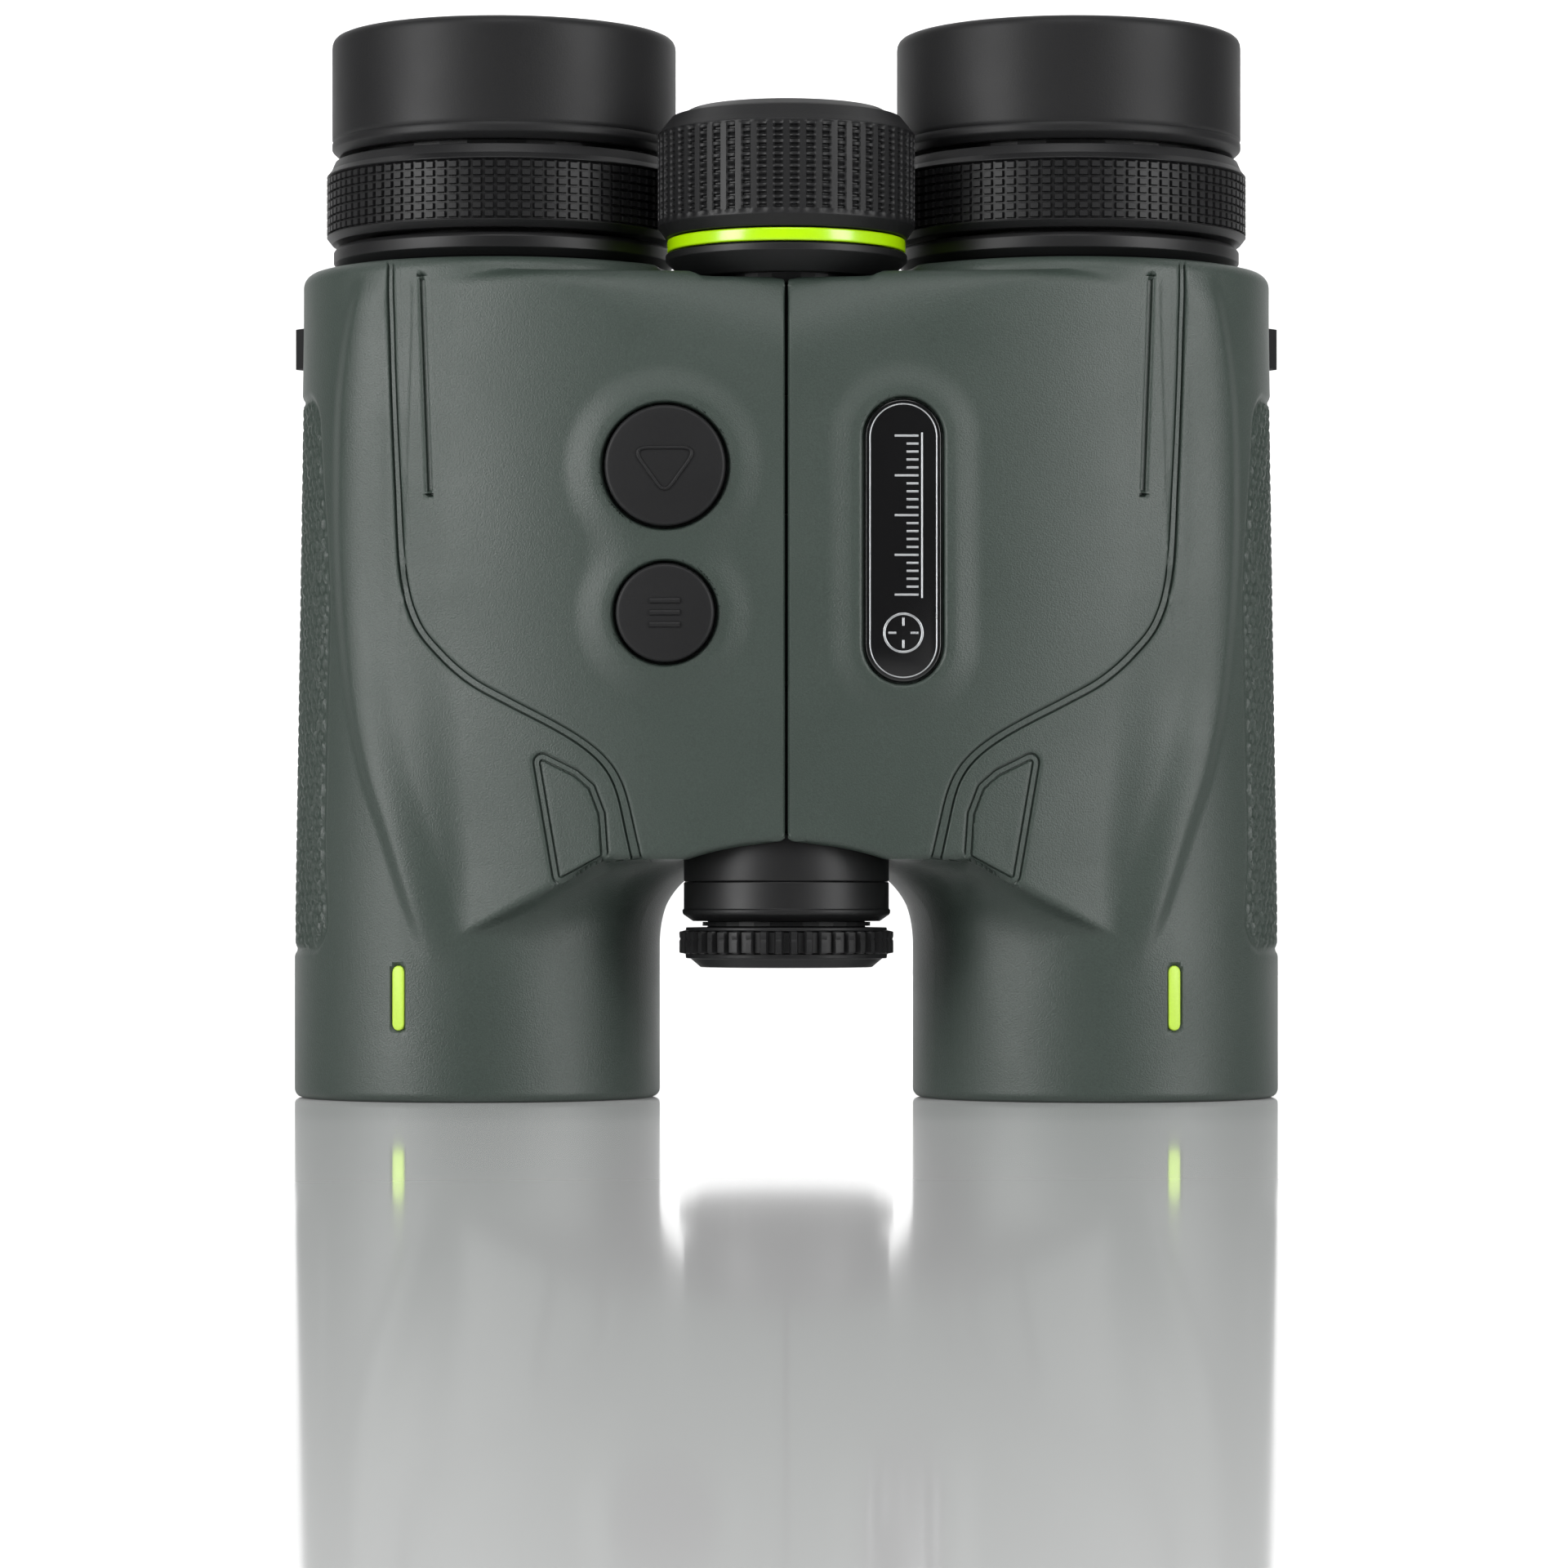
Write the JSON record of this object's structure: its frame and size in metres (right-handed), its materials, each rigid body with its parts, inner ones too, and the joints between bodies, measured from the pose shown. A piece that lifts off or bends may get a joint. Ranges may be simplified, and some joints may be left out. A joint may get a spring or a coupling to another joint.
{
  "type": "rangefinder binocular",
  "caption": "Handheld laser rangefinder binocular with rubber-armoured barrels on a central hinge, focus wheel, dioptre rings, twist-up eyecups, two buttons and a battery cap.",
  "frame": {"origin": "centre of the bounding box's lower face, on the plane of the objective rims it stands on", "axes": "+Z from the objectives towards the eyepieces, +X from the left barrel to the right one as drawn with the buttons facing the viewer, -Y out of the face that carries the focus wheel, buttons and badge"},
  "size_m": [0.131, 0.0586, 0.1386],
  "materials": {
    "armour_rubber": "satin, fine grain",
    "black_rubber": "matt",
    "black_metal": "satin black anodised",
    "bare_metal": "machined",
    "accent": "glossy lime green",
    "optics": "coated optical glass",
    "board": "printed circuit board",
    "black_plastic": "satin black"
  },
  "bodies": {
    "hinge_core": {"hinge_tube": "bare_metal", "hinge_front_collar": "black_metal", "battery_housing": "black_metal", "hinge_sleeve": "black_metal", "hinge_rear_bush": "bare_metal", "battery_cell": "bare_metal", "battery_contact_spring": "bare_metal", "battery_contact_board": "board"},
    "left_barrel": {"left_armour": "armour_rubber", "left_chassis": "black_plastic", "left_objective_retainer": "black_metal", "left_objective_lens": "optics", "left_prism_cage": "black_metal", "left_roof_prism": "optics", "left_relay_prism": "optics", "left_ocular_barrel": "black_metal", "left_field_lens": "optics", "left_eye_lens": "optics", "left_eyepiece_base": "black_metal", "left_strap_lug": "black_plastic", "left_accent_insert": "accent", "button_board": "board", "laser_emitter": "bare_metal"},
    "right_barrel": {"right_armour": "armour_rubber", "right_chassis": "black_plastic", "right_objective_retainer": "black_metal", "right_objective_lens": "optics", "right_prism_cage": "black_metal", "right_roof_prism": "optics", "right_relay_prism": "optics", "right_ocular_barrel": "black_metal", "right_field_lens": "optics", "right_eye_lens": "optics", "right_eyepiece_base": "black_metal", "right_strap_lug": "black_plastic", "right_accent_insert": "accent", "badge_plate": "black_plastic", "main_board": "board", "laser_receiver": "bare_metal"},
    "left_focus_group": {"left_focus_cell": "black_metal", "left_focus_lens": "optics"},
    "right_focus_group": {"right_focus_cell": "black_metal", "right_focus_lens": "optics"},
    "left_dioptre": {"left_dioptre_ring": "black_rubber"},
    "right_dioptre": {"right_dioptre_ring": "black_rubber"},
    "left_eyecup_guide": {"left_eyecup_slider": "black_metal"},
    "left_eyecup_shell": {"left_eyecup": "black_rubber"},
    "right_eyecup_guide": {"right_eyecup_slider": "black_metal"},
    "right_eyecup_shell": {"right_eyecup": "black_rubber"},
    "focus_wheel": {"focus_wheel_hub": "black_metal", "focus_accent_ring": "accent", "focus_wheel_grip": "black_rubber", "focus_wheel_cap": "black_metal", "focus_spindle": "bare_metal"},
    "focus_carriage": {"focus_carriage": "black_metal"},
    "measure_button": {"measure_button": "black_rubber"},
    "mode_button": {"mode_button": "black_rubber"},
    "battery_cap": {"battery_cap": "black_rubber", "battery_cap_seal": "black_rubber"}
  },
  "joints": [
    {"name": "left_fold", "type": "hinge", "parent": "hinge_core", "child": "left_barrel", "pos_m": [0, -0.01285, 0], "axis": [0, 0, 1], "range_deg": [-22.5, 0]},
    {"name": "right_fold", "type": "hinge", "parent": "hinge_core", "child": "right_barrel", "pos_m": [0, -0.01285, 0], "axis": [0, 0, 1], "range_deg": [0, 22.5]},
    {"name": "focus_turn", "type": "hinge", "parent": "hinge_core", "child": "focus_wheel", "pos_m": [0, -0.01285, 0], "axis": [0, 0, 1], "range_deg": [-270, 270]},
    {"name": "carriage_travel", "type": "slide", "parent": "hinge_core", "child": "focus_carriage", "axis": [0, 0, 1], "range_m": [-0.0025, 0.0025]},
    {"name": "left_focus_travel", "type": "slide", "parent": "left_barrel", "child": "left_focus_group", "axis": [0, 0, 1], "range_m": [-0.0025, 0.0025]},
    {"name": "right_focus_travel", "type": "slide", "parent": "right_barrel", "child": "right_focus_group", "axis": [0, 0, 1], "range_m": [-0.0025, 0.0025]},
    {"name": "left_dioptre_turn", "type": "hinge", "parent": "left_barrel", "child": "left_dioptre", "pos_m": [-0.037, 0.00315, 0], "axis": [0, 0, 1], "range_deg": [-75, 75]},
    {"name": "left_eyecup_rise", "type": "slide", "parent": "left_barrel", "child": "left_eyecup_guide", "axis": [0, 0, 1], "range_m": [0, 0.008]},
    {"name": "left_eyecup_twist", "type": "hinge", "parent": "left_eyecup_guide", "child": "left_eyecup_shell", "pos_m": [-0.037, 0.00315, 0], "axis": [0, 0, 1], "range_deg": [0, 120]},
    {"name": "right_dioptre_turn", "type": "hinge", "parent": "right_barrel", "child": "right_dioptre", "pos_m": [0.037, 0.00315, 0], "axis": [0, 0, 1], "range_deg": [-75, 75]},
    {"name": "right_eyecup_rise", "type": "slide", "parent": "right_barrel", "child": "right_eyecup_guide", "axis": [0, 0, 1], "range_m": [0, 0.008]},
    {"name": "right_eyecup_twist", "type": "hinge", "parent": "right_eyecup_guide", "child": "right_eyecup_shell", "pos_m": [0.037, 0.00315, 0], "axis": [0, 0, 1], "range_deg": [0, 120]},
    {"name": "measure_button_press", "type": "slide", "parent": "left_barrel", "child": "measure_button", "axis": [0.0349, 0.9994, 0], "range_m": [0, 0.001], "stiffness_N_per_m": 1500},
    {"name": "mode_button_press", "type": "slide", "parent": "left_barrel", "child": "mode_button", "axis": [0.0349, 0.9994, 0], "range_m": [0, 0.001], "stiffness_N_per_m": 1500},
    {"name": "battery_cap_removal", "type": "slide", "parent": "hinge_core", "child": "battery_cap", "axis": [0, 0, -1], "range_m": [0, 0.012]}
  ],
  "couplings": [
    {"joint": "right_fold", "follows": "left_fold", "ratio": -1},
    {"joint": "carriage_travel", "follows": "focus_turn", "m_per_rad": 0.00053052},
    {"joint": "left_focus_travel", "follows": "focus_turn", "m_per_rad": 0.00053052},
    {"joint": "right_focus_travel", "follows": "focus_turn", "m_per_rad": 0.00053052},
    {"joint": "left_eyecup_twist", "follows": "left_eyecup_rise", "rad_per_m": 261.8},
    {"joint": "right_eyecup_twist", "follows": "right_eyecup_rise", "rad_per_m": 261.8}
  ]
}
